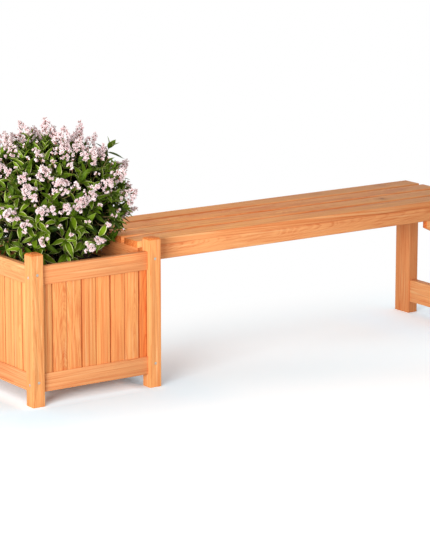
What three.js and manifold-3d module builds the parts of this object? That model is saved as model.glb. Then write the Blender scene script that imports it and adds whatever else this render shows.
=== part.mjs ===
// A softwood garden bench. Its left end rests in a square planter, and its right end stands on a leg frame.
// Millimetres, +Z up. X runs along the bench, Y from its front to its back.
import * as THREE from "three";
import { mergeVertices } from "three/addons/utils/BufferGeometryUtils.js";
import Module from "manifold-3d";

const wasm = await Module();
wasm.setup();

// Fits and edges that the whole object shares
const easing = 1.5; // chamfer on the long edges of planed timber
const fit = 0.3; // clearance of a board in its groove, a screw in its hole, a plant on its soil
const overrun = 4; // how far a cutting tool passes the face it cuts
const roundSides = 20;

// Planter frame
const planterWidth = 440;
const planterDepth = 440;
const postSide = 40;
const postHeight = 450;
const postTopChamfer = 5;
const railThickness = 20;
const railHeight = 54;
const railSetback = 10; // from the post's outer face to the rail's
const footHeight = 40; // clear height under the bottom rails
const railDrop = 40; // from the post's top to the top rail's

// Rail screws, whose heads lie in shallow recesses in the posts
const screwHeadDiameter = 9;
const screwRecessDepth = 1;
const sideScrewRise = 5.5; // screws into the side rails, above the rail's middle
const frontScrewRise = -2.5; // screws into the front and back rails, which pass below the others

// Tongue-and-groove boards
const boardThickness = 10;
const fullBoards = 3; // they share what the narrow first and last boards leave
const firstBoardWidth = 35.5;
const lastBoardWidth = 29;
const leftFirstBoardWidth = 22.5; // the left side's boards start with a narrower one
const leftLastBoardWidth = 42;
const boardJoint = 0.4;
const veeDepth = 1.6;
const tongueLength = 5;
const tongueThickness = 3.4;
const boardGrooveDepth = 8; // of the rails' grooves
const boardEndGap = 0.5; // above a board, in the top rail's groove

// Planter floor
const floorBattenSide = 20;
const floorSlats = 4;
const floorSlatThickness = 18;
const floorSlatGap = 9.3;
const floorEndGap = 2;
const battenLift = 8; // from the bottom rail's underside to the batten's

// Bench
const seatRise = 5; // of the slats' undersides above the planter's rails
const seatSideGap = 9.5; // between the seat's edges and the planter's posts
const seatSlats = 4;
const slatThickness = 20;
const slatGap = 17.6;
const slatLength = 1282;
const slatLap = 50; // how far the slats reach over the planter
const apronThickness = 27;
const notchFloor = 16; // what is left of the planter's rail under an apron
const notchClearance = 3.5; // beside an apron in the planter's rail
const bearers = 3;
const legWidth = 72; // along Y
const legThickness = 37; // along X
const stretcherThickness = 27;
const stretcherHeight = 74;
const stretcherLift = 38; // clear height under the stretcher
const braceLength = 148;
const braceThickness = 21;
const braceDepth = 66; // at the leg
const braceTip = 24; // depth left at the thin end
const braceFlat = 58; // level part of the lower edge, at the leg

// Coach screws that hold the first bearer to the planter's rail
const screwDiameter = 8;
const screwBite = 16; // into the rail
const screwPoint = 4; // tapered length at the end
const screwPointDiameter = 4;
const screwInset = 90; // from the aprons
const screwHeadWidth = 13; // across the flats
const screwHeadHeight = 5.3;
const washerDiameter = 22;
const washerThickness = 1.8;

// Planting
const soilDrop = 60; // from the rails' tops to the soil
const soilMound = 8; // how much higher the soil is at the stem
const soilLump = 2.5;
const stemRadius = 13;
const leafClearance = 5; // of the crown from the seat's slats
const crownRadius = 205; // of the leafy part, which the blossom spikes overreach
const shrubHeight = 444; // above the soil at the stem
const shrubLean = 60; // of the crown's top towards the planter's free side
const leafLump = 8;
const panicleLength = 80;
const panicleRadius = 21;

// Places that follow from the sizes above
const railTop = postHeight - railDrop;
const innerSetback = railSetback + railThickness; // from a post's outer face to a rail's inner face
const grooveSetback = railSetback + (railThickness - boardThickness) / 2;
const slatUnderside = railTop + seatRise;
const seatHeight = slatUnderside + slatThickness;
const slatsLeft = planterWidth - slatLap;
const slatsRight = slatsLeft + slatLength;
const benchFront = postSide + seatSideGap;
const benchBack = planterDepth - benchFront;
const benchDepth = benchBack - benchFront;
const slatWidth = (benchDepth - (seatSlats - 1) * slatGap) / seatSlats;
const apronLeft = planterWidth - innerSetback;
const apronBottom = railTop - railHeight + notchFloor;
const apronHeight = slatUnderside - apronBottom;
const legInner = slatsRight - legThickness;
const bearerLength = benchDepth - 2 * apronThickness;
const screwHeight = slatUnderside - apronHeight / 2;
const screwPlaces = [benchFront + apronThickness + screwInset, benchBack - apronThickness - screwInset];
const soilSurface = railTop - soilDrop; // at the rails

// Timber is pale and orange where the grain runs along it, metal is grey, soil and leaves are dark.
function timberMaterial(colour) {
  return new THREE.MeshStandardMaterial({ color: colour, roughness: 0.62, metalness: 0 });
}

const timberColours = { post: 0xf0a468, rail: 0xe9a56e, board: 0xf0a566, slat: 0xd9a878, frame: 0xdf9560 };
const steel = { color: 0xa9a7a3, roughness: 0.35, metalness: 1 };

// A closed three.js geometry as a manifold-3d solid
function solid(geometry) {
  const bare = geometry.clone();
  bare.deleteAttribute("normal");
  bare.deleteAttribute("uv");
  const merged = mergeVertices(bare);
  return new wasm.Manifold(
    new wasm.Mesh({
      numProp: 3,
      vertProperties: new Float32Array(merged.attributes.position.array),
      triVerts: new Uint32Array(merged.index.array),
    }),
  );
}

// A manifold-3d solid as a three.js geometry with flat faces
function geometryOf(body) {
  const mesh = body.getMesh();
  const indexed = new THREE.BufferGeometry();
  indexed.setAttribute("position", new THREE.BufferAttribute(mesh.vertProperties, mesh.numProp));
  indexed.setIndex(new THREE.BufferAttribute(mesh.triVerts, 1));
  const flat = indexed.toNonIndexed();
  flat.computeVertexNormals();
  return flat;
}

function cut(geometry, tools) {
  return geometryOf(tools.reduce((left, tool) => left.subtract(solid(tool)), solid(geometry)));
}

function join(geometries) {
  return geometryOf(geometries.map(solid).reduce((whole, next) => whole.add(next)));
}

function common(geometry, other) {
  return geometryOf(solid(geometry).intersect(solid(other)));
}

// Which size is drawn across, drawn up and extruded, for a piece that lies along each axis
const drawing = {
  x: { axes: [1, 2, 0], turn: new THREE.Matrix4(0, 0, 1, 0, 1, 0, 0, 0, 0, 1, 0, 0, 0, 0, 0, 1) },
  y: { axes: [2, 0, 1], turn: new THREE.Matrix4(0, 1, 0, 0, 0, 0, 1, 0, 1, 0, 0, 0, 0, 0, 0, 1) },
  z: { axes: [0, 1, 2], turn: new THREE.Matrix4() },
};

// A straight piece with eased long edges and sawn ends. One corner is at the origin.
function timber(size, along, edge = easing) {
  const [width, height, length] = drawing[along].axes.map((axis) => size[axis]);
  const section = new THREE.Shape([
    new THREE.Vector2(edge, 0),
    new THREE.Vector2(width - edge, 0),
    new THREE.Vector2(width, edge),
    new THREE.Vector2(width, height - edge),
    new THREE.Vector2(width - edge, height),
    new THREE.Vector2(edge, height),
    new THREE.Vector2(0, height - edge),
    new THREE.Vector2(0, edge),
  ]);
  const piece = new THREE.ExtrudeGeometry(section, { depth: length, bevelEnabled: false });
  return piece.applyMatrix4(drawing[along].turn);
}

// A plain box with one corner at the origin, for cutting
function block(x, y, z) {
  return new THREE.BoxGeometry(x, y, z).translate(x / 2, y / 2, z / 2);
}

// A round rod along one axis, centred on the origin
function rod(radius, length, along) {
  const turned = new THREE.CylinderGeometry(radius, radius, length, roundSides);
  if (along === "x") turned.rotateZ(Math.PI / 2);
  if (along === "z") turned.rotateX(Math.PI / 2);
  return turned;
}

function addPiece(group, name, geometry, material, place) {
  const piece = new THREE.Mesh(geometry, material);
  piece.name = name;
  piece.position.set(...place);
  group.add(piece);
  return piece;
}

const sidesOfPlanter = ["front", "right", "back", "left"];
const planter = new THREE.Group();
const bench = new THREE.Group();
const planting = new THREE.Group();

// Posts: a chamfered top, and on the two outer faces a recess for the head of each rail screw
function postGeometry(isRight, isBack) {
  const shaft = timber([postSide, postSide, postHeight], "z");
  const crown = new THREE.ExtrudeGeometry(
    new THREE.Shape([
      new THREE.Vector2(0, 0),
      new THREE.Vector2(postSide, 0),
      new THREE.Vector2(postSide, postSide),
      new THREE.Vector2(0, postSide),
    ]),
    {
      depth: postHeight,
      bevelSize: postTopChamfer,
      bevelOffset: -postTopChamfer,
      bevelThickness: postTopChamfer,
      bevelSegments: 1,
    },
  ).translate(0, 0, -postTopChamfer);
  const railMiddles = [footHeight + railHeight / 2, railTop - railHeight / 2];
  const recesses = railMiddles.flatMap((middle) => [
    rod(screwHeadDiameter / 2, 2 * screwRecessDepth, "y")
      .translate(postSide / 2, isBack ? postSide : 0, middle + sideScrewRise),
    rod(screwHeadDiameter / 2, 2 * screwRecessDepth, "x")
      .translate(isRight ? postSide : 0, postSide / 2, middle + frontScrewRise),
  ]);
  return cut(common(shaft, crown), recesses);
}

for (const isBack of [false, true]) {
  for (const isRight of [false, true]) {
    const name = `post_${isBack ? "back" : "front"}_${isRight ? "right" : "left"}`;
    const x = isRight ? planterWidth - postSide : 0;
    const y = isBack ? planterDepth - postSide : 0;
    addPiece(planter, name, postGeometry(isRight, isBack), timberMaterial(timberColours.post), [x, y, 0]);
  }
}

// Rails lie along X, with a groove for the boards in the edge that faces the panel.
function railGeometry(length, isTop) {
  const rail = timber([length, railThickness, railHeight], "x");
  const grooveWidth = boardThickness + 2 * fit;
  const groove = block(length + 2 * overrun, grooveWidth, boardGrooveDepth + overrun).translate(
    -overrun,
    (railThickness - grooveWidth) / 2,
    isTop ? -overrun : railHeight - boardGrooveDepth,
  );
  return cut(rail, [groove]);
}

// The right top rail also carries the bench: a notch for each apron, and two blind screw holes.
function benchRailGeometry(length) {
  const notchWidth = apronThickness + 2 * notchClearance;
  const notchDepth = railTop - apronBottom;
  const notches = [benchFront, benchBack - apronThickness].map((apronFace) =>
    block(notchWidth, railThickness + 2 * overrun, notchDepth + overrun).translate(
      apronFace - notchClearance - postSide,
      -overrun,
      railHeight - notchDepth,
    ),
  );
  const holeDepth = screwBite + fit;
  const holes = screwPlaces.map((along) =>
    rod(screwDiameter / 2 + fit, holeDepth + overrun, "y").translate(
      along - postSide,
      (holeDepth - overrun) / 2,
      screwHeight - railTop + railHeight,
    ),
  );
  return cut(railGeometry(length, true), [...notches, ...holes]);
}

// A tongue-and-groove board stands on its end: its width is along X and its face looks towards -Y.
function boardGeometry(width, height, hasGroove, hasTongue, hasMiddleVee) {
  const face = width - boardJoint;
  const middle = face / 2;
  const tongueStart = (boardThickness - tongueThickness) / 2;
  const tongueEnd = tongueStart + tongueThickness;
  const grooveEnd = tongueLength + fit;
  const outline = [[0, veeDepth], [veeDepth, 0]];
  if (hasMiddleVee) {
    outline.push([middle - veeDepth, 0], [middle, veeDepth], [middle + veeDepth, 0]);
  }
  outline.push([face - veeDepth, 0], [face, veeDepth]);
  if (hasTongue) {
    const tip = face + tongueLength;
    outline.push([face, tongueStart], [tip, tongueStart], [tip, tongueEnd], [face, tongueEnd]);
  }
  outline.push([face, boardThickness], [0, boardThickness]);
  if (hasGroove) {
    outline.push([0, tongueEnd + fit], [grooveEnd, tongueEnd + fit]);
    outline.push([grooveEnd, tongueStart - fit], [0, tongueStart - fit]);
  }
  const section = new THREE.Shape(outline.map(([x, y]) => new THREE.Vector2(x, y)));
  return new THREE.ExtrudeGeometry(section, { depth: height, bevelEnabled: false });
}

// One side of the planter, drawn as the front: its posts' outer faces at Y 0, the left post's face at X 0.
function panel(side, outerLength) {
  const group = new THREE.Group();
  const span = outerLength - 2 * postSide;
  const bottomRail = railGeometry(span, false);
  const topRail = side === "right" ? benchRailGeometry(span) : railGeometry(span, true);
  const railPlace = (z) => [postSide, railSetback, z];
  const railMaterial = () => timberMaterial(timberColours.rail);
  addPiece(group, `rail_${side}_bottom`, bottomRail, railMaterial(), railPlace(footHeight));
  addPiece(group, `rail_${side}_top`, topRail, railMaterial(), railPlace(railTop - railHeight));

  const firstWidth = side === "left" ? leftFirstBoardWidth : firstBoardWidth;
  const lastWidth = side === "left" ? leftLastBoardWidth : lastBoardWidth;
  const fullWidth = (span - firstWidth - lastWidth) / fullBoards;
  const widths = [firstWidth, ...Array(fullBoards).fill(fullWidth), lastWidth];
  const boardBottom = footHeight + railHeight - boardGrooveDepth;
  const boardTop = railTop - railHeight + boardGrooveDepth - boardEndGap;
  let start = postSide;
  widths.forEach((width, index) => {
    const isFirst = index === 0;
    const isLast = index === widths.length - 1;
    const board = boardGeometry(width, boardTop - boardBottom, !isFirst, !isLast, !isFirst && !isLast);
    const name = `board_${side}_${index + 1}`;
    addPiece(group, name, board, timberMaterial(timberColours.board), [start, grooveSetback, boardBottom]);
    start += width;
  });
  return group;
}

// The four sides face outwards, each a quarter turn on from the one before.
sidesOfPlanter.forEach((side, quarter) => {
  const outerLength = quarter % 2 ? planterDepth : planterWidth;
  const wall = panel(side, outerLength);
  wall.rotation.z = (quarter * Math.PI) / 2;
  wall.position.x = side === "right" || side === "back" ? planterWidth : 0;
  wall.position.y = side === "back" || side === "left" ? planterDepth : 0;
  planter.add(wall);
});

// Floor: two battens on the bottom rails' inner faces, and slats across them between the posts
const battenBottom = footHeight + battenLift;
for (const isBack of [false, true]) {
  const y = isBack ? planterDepth - innerSetback - floorBattenSide : innerSetback;
  const size = [planterWidth - 2 * postSide, floorBattenSide, floorBattenSide];
  const name = `floor_batten_${isBack ? "back" : "front"}`;
  const place = [postSide, y, battenBottom];
  addPiece(planter, name, timber(size, "x"), timberMaterial(timberColours.frame), place);
}
const floorWidth = planterWidth - 2 * innerSetback;
const floorSlatWidth = (floorWidth - (floorSlats - 1) * floorSlatGap) / floorSlats;
const floorSlatLength = planterDepth - 2 * postSide - 2 * floorEndGap;
const floorSlatBottom = battenBottom + floorBattenSide;
for (let index = 0; index < floorSlats; index++) {
  const slat = timber([floorSlatWidth, floorSlatLength, floorSlatThickness], "y");
  const x = innerSetback + index * (floorSlatWidth + floorSlatGap);
  const place = [x, postSide + floorEndGap, floorSlatBottom];
  addPiece(planter, `floor_slat_${index + 1}`, slat, timberMaterial(timberColours.frame), place);
}

// Seat: slats side by side from front to back, their left ends over the planter's rail
for (let index = 0; index < seatSlats; index++) {
  const slat = timber([slatLength, slatWidth, slatThickness], "x");
  const place = [slatsLeft, benchFront + index * (slatWidth + slatGap), slatUnderside];
  addPiece(bench, `seat_slat_${index + 1}`, slat, timberMaterial(timberColours.slat), place);
}

// Aprons: flush under the outer slats, from the rail's inner face to the legs
for (const isBack of [false, true]) {
  const apron = timber([legInner - apronLeft, apronThickness, apronHeight], "x");
  const place = [apronLeft, isBack ? benchBack - apronThickness : benchFront, apronBottom];
  addPiece(bench, `apron_${isBack ? "back" : "front"}`, apron, timberMaterial(timberColours.frame), place);
}

// Bearers between the aprons: the first against the planter's rail and screwed to it, the rest spread evenly
const firstBearer = planterWidth - railSetback;
const bearerPitch = (legInner - firstBearer) / bearers;
for (let index = 0; index < bearers; index++) {
  const plain = timber([apronThickness, bearerLength, apronHeight], "y");
  const holes = screwPlaces.map((along) =>
    rod(screwDiameter / 2 + fit, apronThickness + 2 * overrun, "x").translate(
      apronThickness / 2,
      along - benchFront - apronThickness,
      screwHeight - apronBottom,
    ),
  );
  const bearer = index === 0 ? cut(plain, holes) : plain;
  const place = [firstBearer + index * bearerPitch, benchFront + apronThickness, apronBottom];
  addPiece(bench, `bearer_${index + 1}`, bearer, timberMaterial(timberColours.frame), place);
}

// Leg frame: two legs, a cross rail under the slats and a stretcher near the ground
for (const isBack of [false, true]) {
  const leg = timber([legThickness, legWidth, slatUnderside], "z");
  const place = [legInner, isBack ? benchBack - legWidth : benchFront, 0];
  addPiece(bench, `leg_${isBack ? "back" : "front"}`, leg, timberMaterial(timberColours.frame), place);
}
const betweenLegs = benchDepth - 2 * legWidth;
const frameRailX = legInner + (legThickness - stretcherThickness) / 2;
const frameRailY = benchFront + legWidth;
const crossRail = timber([stretcherThickness, betweenLegs, apronHeight], "y");
const stretcher = timber([stretcherThickness, betweenLegs, stretcherHeight], "y");
const frameMaterial = () => timberMaterial(timberColours.frame);
addPiece(bench, "cross_rail", crossRail, frameMaterial(), [frameRailX, frameRailY, apronBottom]);
addPiece(bench, "stretcher", stretcher, frameMaterial(), [frameRailX, frameRailY, stretcherLift]);

// Braces: a gusset under each apron's end, flush with its outer face and tapering away from the leg. It is
// drawn from the side with its top edge at 0.
for (const isBack of [false, true]) {
  const outline = [
    [0, 0],
    [0, -braceTip],
    [braceLength - braceFlat, -braceDepth],
    [braceLength, -braceDepth],
    [braceLength, 0],
  ];
  const side = new THREE.Shape(outline.map(([x, z]) => new THREE.Vector2(x, z)));
  const brace = new THREE.ExtrudeGeometry(side, { depth: braceThickness, bevelEnabled: false })
    .rotateX(Math.PI / 2)
    .translate(0, braceThickness, 0);
  const place = [legInner - braceLength, isBack ? benchBack - braceThickness : benchFront, apronBottom];
  addPiece(bench, `brace_${isBack ? "back" : "front"}`, brace, frameMaterial(), place);
}

// Coach screws: a hexagon head on a washer against the first bearer, a shank through it and into the rail
function coachScrewGeometry() {
  const shankLength = washerThickness + apronThickness + screwBite;
  const cornerRadius = screwHeadWidth / 2 / Math.cos(Math.PI / 6);
  const head = new THREE.CylinderGeometry(cornerRadius, cornerRadius, screwHeadHeight, 6)
    .rotateZ(Math.PI / 2)
    .translate(screwHeadHeight / 2, 0, 0);
  const outline = [
    [0, -shankLength],
    [screwPointDiameter / 2, -shankLength],
    [screwDiameter / 2, screwPoint - shankLength],
    [screwDiameter / 2, screwHeadHeight / 2],
    [0, screwHeadHeight / 2],
  ];
  const profile = outline.map(([out, along]) => new THREE.Vector2(out, along));
  const shank = new THREE.LatheGeometry(profile, roundSides).rotateZ(-Math.PI / 2);
  return join([head, shank]);
}

function washerGeometry() {
  const disc = rod(washerDiameter / 2, washerThickness, "x").translate(washerThickness / 2, 0, 0);
  return cut(disc, [rod(screwDiameter / 2 + fit, 2 * (washerThickness + overrun), "x")]);
}

screwPlaces.forEach((y, index) => {
  const metal = () => new THREE.MeshStandardMaterial(steel);
  const washerX = firstBearer + apronThickness;
  const headPlace = [washerX + washerThickness, y, screwHeight];
  addPiece(bench, `washer_${index + 1}`, washerGeometry(), metal(), [washerX, y, screwHeight]);
  addPiece(bench, `coach_screw_${index + 1}`, coachScrewGeometry(), metal(), headPlace);
});

// Soil fills the planter from the floor slats up, a little higher at the stem and lumpy on top.
const soilSteps = 14;

function soilGeometry(bottom) {
  const width = planterWidth - 2 * innerSetback - 2 * fit;
  const depth = planterDepth - 2 * innerSetback - 2 * fit;
  const height = soilSurface - bottom;
  const soil = new THREE.BoxGeometry(width, depth, height, soilSteps, soilSteps, 1);
  soil.translate(0, 0, height / 2);
  const place = soil.attributes.position;
  for (let i = 0; i < place.count; i++) {
    if (place.getZ(i) < height / 2) continue;
    const across = place.getX(i) / (width / 2);
    const along = place.getY(i) / (depth / 2);
    const mound = soilMound * (1 - across ** 2) * (1 - along ** 2);
    const flatAtStem = Math.min(1, 4 * (across ** 2 + along ** 2));
    const lump = soilLump * Math.sin(7 * across + 2 * along) * Math.cos(5 * along - 3 * across) * flatAtStem;
    place.setZ(i, place.getZ(i) + mound + lump);
  }
  const postCorner = postSide - innerSetback;
  const corners = [-1, 1].flatMap((right) =>
    [-1, 1].map((back) =>
      new THREE.BoxGeometry(2 * postCorner, 2 * postCorner, 3 * height).translate(
        right * (width / 2),
        back * (depth / 2),
        0,
      ),
    ),
  );
  return cut(soil, corners);
}

const earth = new THREE.MeshStandardMaterial({ color: 0x2a1d14, roughness: 0.95, metalness: 0 });
const soilBottom = floorSlatBottom + floorSlatThickness;
const soilPlace = [planterWidth / 2, planterDepth / 2, soilBottom];
addPiece(planting, "soil", soilGeometry(soilBottom), earth, soilPlace);

// The shrub's outer shape: a stem, a crown that clears the slats and then spreads, and blossom spikes on it
const stemTop = soilSurface + soilMound + fit;
const rimRise = seatHeight + leafClearance - stemTop;
const rimRadius = Math.min(planterWidth, planterDepth) / 2 - slatLap - leafClearance;
const crownSteps = 40;
const underRimShares = [[0.3, 0.35], [0.65, 0.85], [1, 1]]; // of the rim's rise, of its radius
const overRimShares = [
  // of the height over the rim, of the crown's radius
  [0.07, 0.89],
  [0.18, 0.96],
  [0.33, 1],
  [0.47, 0.98],
  [0.58, 0.92],
  [0.69, 0.8],
  [0.77, 0.66],
  [0.83, 0.48],
];
const crownTopShare = 0.87;

function crownGeometry() {
  const overRim = shrubHeight - rimRise;
  const profile = [
    new THREE.Vector2(0, 0),
    new THREE.Vector2(stemRadius, 0),
    ...underRimShares.map(([up, out]) => new THREE.Vector2(out * rimRadius, up * rimRise)),
    ...overRimShares.map(([up, out]) => new THREE.Vector2(out * crownRadius, rimRise + up * overRim)),
    new THREE.Vector2(0, rimRise + crownTopShare * overRim),
  ];
  const crown = new THREE.LatheGeometry(profile, crownSteps).rotateX(Math.PI / 2);
  const place = crown.attributes.position;
  for (let i = 0; i < place.count; i++) {
    const x = place.getX(i);
    const y = place.getY(i);
    const up = (place.getZ(i) - rimRise) / overRim;
    if (up <= 0) continue;
    const out = Math.hypot(x, y);
    const turn = Math.atan2(y, x);
    const lump = leafLump * Math.sin(7 * turn + 9 * up) * Math.cos(16 * up + 3 * turn);
    const grown = out > stemRadius ? 1 + lump / out : 1;
    place.setX(i, x * grown - shrubLean * up ** 2);
    place.setY(i, y * grown);
  }
  return crown;
}

// Blossom spikes stand in rings on the crown: share of the height over the rim, share of the crown's radius,
// how many there are, and how far they tilt outwards.
const spikeRingShares = [
  { up: 0.75, out: 0.14, count: 3, tilt: 0.15 },
  { up: 0.72, out: 0.45, count: 7, tilt: 0.35 },
  { up: 0.57, out: 0.76, count: 9, tilt: 0.75 },
  { up: 0.25, out: 0.84, count: 9, tilt: 1.1 },
];
const spikeOutlineShares = [[0, 0], [0.6, 0.1], [1, 0.35], [0.85, 0.65], [0.45, 0.9], [0, 1]];
const spikeSteps = 8;

function spikeGeometries() {
  const profile = spikeOutlineShares.map(
    ([out, up]) => new THREE.Vector2(out * panicleRadius, up * panicleLength),
  );
  return spikeRingShares.flatMap(({ up, out, count, tilt }, ring) =>
    Array.from({ length: count }, (_, index) => {
      const turn = ((index + ring / 2) / count) * 2 * Math.PI;
      return new THREE.LatheGeometry(profile, spikeSteps)
        .rotateX(Math.PI / 2)
        .rotateY(tilt)
        .translate(out * crownRadius, 0, rimRise + up * (shrubHeight - rimRise))
        .rotateZ(turn)
        .translate(-shrubLean * up ** 2, 0, 0);
    }),
  );
}

const leaves = new THREE.MeshStandardMaterial({ color: 0x6f8f45, roughness: 0.6, metalness: 0 });
const shrubPlace = [planterWidth / 2, planterDepth / 2, stemTop];
addPiece(planting, "shrub", join([crownGeometry(), ...spikeGeometries()]), leaves, shrubPlace);

// The object's frame: the ground under the middle of its bounding box
const benchWithPlanter = new THREE.Group();
benchWithPlanter.add(planter, bench, planting);
benchWithPlanter.updateMatrixWorld(true);
const bounds = new THREE.Box3().setFromObject(benchWithPlanter, true);
const middle = bounds.getCenter(new THREE.Vector3());
benchWithPlanter.position.set(-middle.x, -middle.y, -bounds.min.z);

export default benchWithPlanter;
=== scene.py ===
import math
import random

import bmesh
import bpy
from mathutils import Matrix, Vector, noise


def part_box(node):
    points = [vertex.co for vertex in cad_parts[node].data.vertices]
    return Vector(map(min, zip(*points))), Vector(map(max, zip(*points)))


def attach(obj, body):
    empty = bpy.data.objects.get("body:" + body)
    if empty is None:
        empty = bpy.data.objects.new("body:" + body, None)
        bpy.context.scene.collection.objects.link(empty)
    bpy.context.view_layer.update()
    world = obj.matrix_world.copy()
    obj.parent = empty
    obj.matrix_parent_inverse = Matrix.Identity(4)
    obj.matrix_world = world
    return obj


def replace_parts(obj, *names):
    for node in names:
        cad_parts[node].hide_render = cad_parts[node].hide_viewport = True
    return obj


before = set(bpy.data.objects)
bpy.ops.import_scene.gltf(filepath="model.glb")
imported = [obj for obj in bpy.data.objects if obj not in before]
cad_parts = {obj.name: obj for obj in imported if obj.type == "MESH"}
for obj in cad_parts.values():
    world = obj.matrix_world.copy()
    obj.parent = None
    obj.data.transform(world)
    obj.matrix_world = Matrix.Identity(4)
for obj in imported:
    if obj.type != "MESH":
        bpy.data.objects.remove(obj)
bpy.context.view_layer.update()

# Camera
# It stands well in front of the bench and to the left of the planter, a little above a person's height,
# and looks down along the bench through a long lens.
planter_corner = Vector(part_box("post_front_left")[0])
corner_to_camera = Vector((-3.5104, -6.0010, 1.9245))
camera_heading = math.radians(55.381)
camera_dip = math.radians(12.311)
lens = bpy.data.cameras.new("camera")
lens.lens = 167.87
lens.sensor_width = 36
lens.clip_end = 60
camera = bpy.data.objects.new("camera", lens)
bpy.context.collection.objects.link(camera)
looks_along = Vector((
    math.cos(camera_heading) * math.cos(camera_dip),
    math.sin(camera_heading) * math.cos(camera_dip),
    -math.sin(camera_dip),
))
camera.location = planter_corner + corner_to_camera
camera.rotation_mode = "QUATERNION"
camera.rotation_quaternion = looks_along.to_track_quat("-Z", "Y")
bpy.context.scene.camera = camera
bpy.context.scene.view_settings.view_transform = "Standard"


# Floor and backdrop
# A plain white studio sweep. It is white to the eye and keeps the object's soft shadow, and it throws
# a quieter light back on the timber. Near the object its shade is partly painted on.
class Socket:
    """A shader node's output that works with plus, minus, times and so on."""

    def __init__(self, finish, link):
        self.finish = finish
        self.link = link

    def maths(self, operation, *others):
        inputs = dict(enumerate([self, *others]))
        return self.finish.node("ShaderNodeMath", {"operation": operation}, inputs)

    def __add__(self, other):
        return self.maths("ADD", other)

    def __radd__(self, other):
        return self.maths("ADD", other)

    def __sub__(self, other):
        return self.maths("SUBTRACT", other)

    def __rsub__(self, other):
        return (self * -1) + other

    def __mul__(self, other):
        return self.maths("MULTIPLY", other)

    def __rmul__(self, other):
        return self.maths("MULTIPLY", other)

    def __truediv__(self, other):
        return self.maths("DIVIDE", other)

    def __pow__(self, other):
        return self.maths("POWER", other)

    def step(self, low, high):
        """Rises smoothly from 0 at low to 1 at high, or falls where low is the higher."""
        settings = {"interpolation_type": "SMOOTHSTEP"}
        rise = {"Value": self, "From Min": min(low, high), "From Max": max(low, high)}
        rise.update({"To Min": float(low > high), "To Max": float(low < high)})
        return self.finish.node("ShaderNodeMapRange", settings, rise)


class Finish:
    """A material, with methods that add nodes to it and set its surface shader."""

    def __init__(self, name):
        self.material = bpy.data.materials.new(name)
        self.material.use_nodes = True
        self.tree = self.material.node_tree
        self.surface = self.tree.nodes["Principled BSDF"]

    def node(self, kind, settings=None, inputs=None, output=0):
        node = self.tree.nodes.new(kind)
        for key, value in (settings or {}).items():
            setattr(node, key, value)
        for key, value in (inputs or {}).items():
            self.join(value, node.inputs[key])
        return Socket(self, node.outputs[output])

    def join(self, value, socket):
        if isinstance(value, Socket):
            self.tree.links.new(value.link, socket)
        else:
            socket.default_value = value

    def attribute(self, name, output="Fac"):
        return self.node("ShaderNodeAttribute", {"attribute_name": name}, output=output)

    def scaled(self, vector, scale):
        inputs = {0: vector, 1: scale}
        return self.node("ShaderNodeVectorMath", {"operation": "MULTIPLY"}, inputs)

    def parts(self, vector):
        split = self.tree.nodes.new("ShaderNodeSeparateXYZ")
        self.join(vector, split.inputs[0])
        return [Socket(self, output) for output in split.outputs]

    def noise(self, vector, scale, detail=2.0, roughness=0.5):
        """A smooth random value with so many changes a metre along each of three axes."""
        inputs = {"Vector": self.scaled(vector, scale), "Scale": 1.0}
        inputs.update({"Detail": detail, "Roughness": roughness})
        return self.node("ShaderNodeTexNoise", None, inputs, "Fac")

    def along_line(self, place):
        """A smooth random value that depends on one number alone."""
        inputs = {"W": place, "Detail": 0.0}
        return self.node("ShaderNodeTexNoise", {"noise_dimensions": "1D"}, inputs, "Fac")

    def blend(self, share, first, second, how="MIX"):
        settings = {"data_type": "RGBA", "blend_type": how, "clamp_factor": True}
        return self.node("ShaderNodeMix", settings, {0: share, 6: first, 7: second}, 2)

    def bump(self, height, depth, strength=1.0):
        inputs = {"Height": height, "Distance": depth, "Strength": strength}
        self.set("Normal", self.node("ShaderNodeBump", None, inputs, "Normal"))

    def set(self, name, value):
        self.join(value, self.surface.inputs[name])


def grey(level):
    """A grey as shaders take it, with a level that may be above 1."""
    return (level, level, level, 1.0)


floor_reach = 14.0
floor_mesh = bmesh.new()
bmesh.ops.create_grid(floor_mesh, x_segments=1, y_segments=1, size=floor_reach)
floor_data = bpy.data.meshes.new("floor")
floor_mesh.to_mesh(floor_data)
floor_mesh.free()
floor = bpy.data.objects.new("floor", floor_data)
bpy.context.collection.objects.link(floor)
floor_finish = Finish("floor_white")
seen = floor_finish.node("ShaderNodeLightPath", output="Is Camera Ray")
spot = floor_finish.node("ShaderNodeTexCoord", output="Object")
x, y = floor_finish.parts(spot)[:2]

# Where a spot of the floor lies, each as a share that fades out over a few tens of centimetres
half_length = 0.85
half_depth = 0.24
shadow_reach = 0.45
away = x * math.cos(camera_heading) + y * math.sin(camera_heading)
far_side = away.step(-0.3, 0.12)
outside_x = (x.maths("ABSOLUTE") - half_length).maths("MAXIMUM", 0.0)
outside_y = (y.maths("ABSOLUTE") - half_depth).maths("MAXIMUM", 0.0)
beside = ((outside_x * outside_x + outside_y * outside_y) ** 0.5).step(shadow_reach, 0.03)
beside_planter = beside * beside * x.step(-0.15, -0.42)
beside_legs = x.step(0.5, 0.7) * y.maths("ABSOLUTE").step(0.3, 0.08)
under_planter = x.step(-0.42, -0.48) * x.step(-0.87, -0.8) * y.maths("ABSOLUTE").step(0.25, 0.17)
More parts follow.
